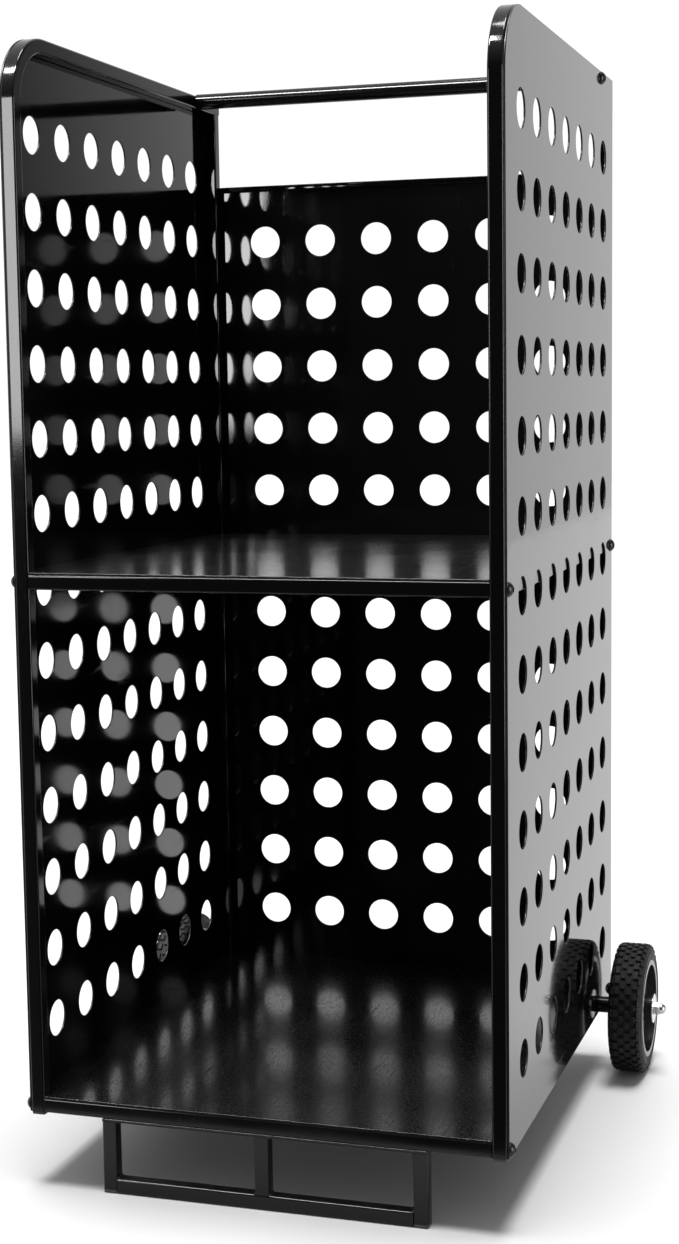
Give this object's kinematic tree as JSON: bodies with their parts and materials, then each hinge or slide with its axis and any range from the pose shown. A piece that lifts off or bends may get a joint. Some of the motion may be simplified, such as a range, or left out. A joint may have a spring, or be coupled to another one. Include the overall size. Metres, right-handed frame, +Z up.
{
  "type": "firewood log rack",
  "caption": "Tall open-front firewood rack with perforated side and back panels, a mid shelf, a push handle, a front foot and a pair of rear wheels.",
  "frame": {"origin": "on the ground, under the middle of the bounding box", "axes": "+Z up, the open front faces -Y, +X to the right when looking at the front"},
  "size_m": [0.646, 0.5906, 1.1555],
  "materials": {
    "coated_tube": "gloss black powder coat",
    "coated_sheet": "gloss black powder coat",
    "coated_deck": "gloss black powder coat",
    "black_fasteners": "black oxide, satin",
    "insert_steel": "zinc plated",
    "zinc_steel": "bright zinc plate",
    "plug_plastic": "matte black",
    "bush_plastic": "matte black",
    "rim_plastic": "satin black moulded plastic",
    "tyre_rubber": "matte black rubber"
  },
  "bodies": {
    "root": {"left_side_tube": "coated_tube", "left_rear_post": "coated_tube", "left_mid_rail": "coated_tube", "left_bottom_rail": "coated_tube", "right_side_tube": "coated_tube", "right_rear_post": "coated_tube", "right_mid_rail": "coated_tube", "right_bottom_rail": "coated_tube", "left_side_panel": "coated_sheet", "right_side_panel": "coated_sheet", "back_panel": "coated_sheet", "shelf_front_bar": "coated_tube", "shelf_rear_bar": "coated_tube", "shelf_plate": "coated_deck", "floor_front_bar": "coated_tube", "floor_rear_bar": "coated_tube", "floor_plate": "coated_deck", "handle_bar": "coated_tube", "foot_left_upright": "coated_tube", "foot_right_upright": "coated_tube", "foot_middle_upright": "coated_tube", "foot_bottom_tube": "coated_tube", "foot_top_strip": "coated_tube", "tube_end_plugs": "plug_plastic", "foot_end_plugs": "plug_plastic", "bar_inserts": "insert_steel", "handle_inserts": "insert_steel", "shelf_bolts": "black_fasteners", "floor_bolts": "black_fasteners", "handle_bolts": "black_fasteners", "back_panel_screws": "black_fasteners", "axle_tube": "coated_tube", "axle_tube_bushes": "bush_plastic", "axle_rod": "zinc_steel", "left_wheel_sleeve": "zinc_steel", "left_inner_washer": "zinc_steel", "left_outer_washer": "zinc_steel", "left_dome_nut": "zinc_steel", "right_wheel_sleeve": "zinc_steel", "right_inner_washer": "zinc_steel", "right_outer_washer": "zinc_steel", "right_dome_nut": "zinc_steel"},
    "left_wheel": {"left_tyre": "tyre_rubber", "left_rim": "rim_plastic"},
    "right_wheel": {"right_tyre": "tyre_rubber", "right_rim": "rim_plastic"}
  },
  "joints": [
    {"name": "left_wheel_spin", "type": "hinge", "parent": "root", "child": "left_wheel", "pos_m": [-0.2845, 0.2203, 0.075], "axis": [1, 0, 0], "continuous": true},
    {"name": "right_wheel_spin", "type": "hinge", "parent": "root", "child": "right_wheel", "pos_m": [0.2845, 0.2203, 0.075], "axis": [1, 0, 0], "continuous": true}
  ]
}
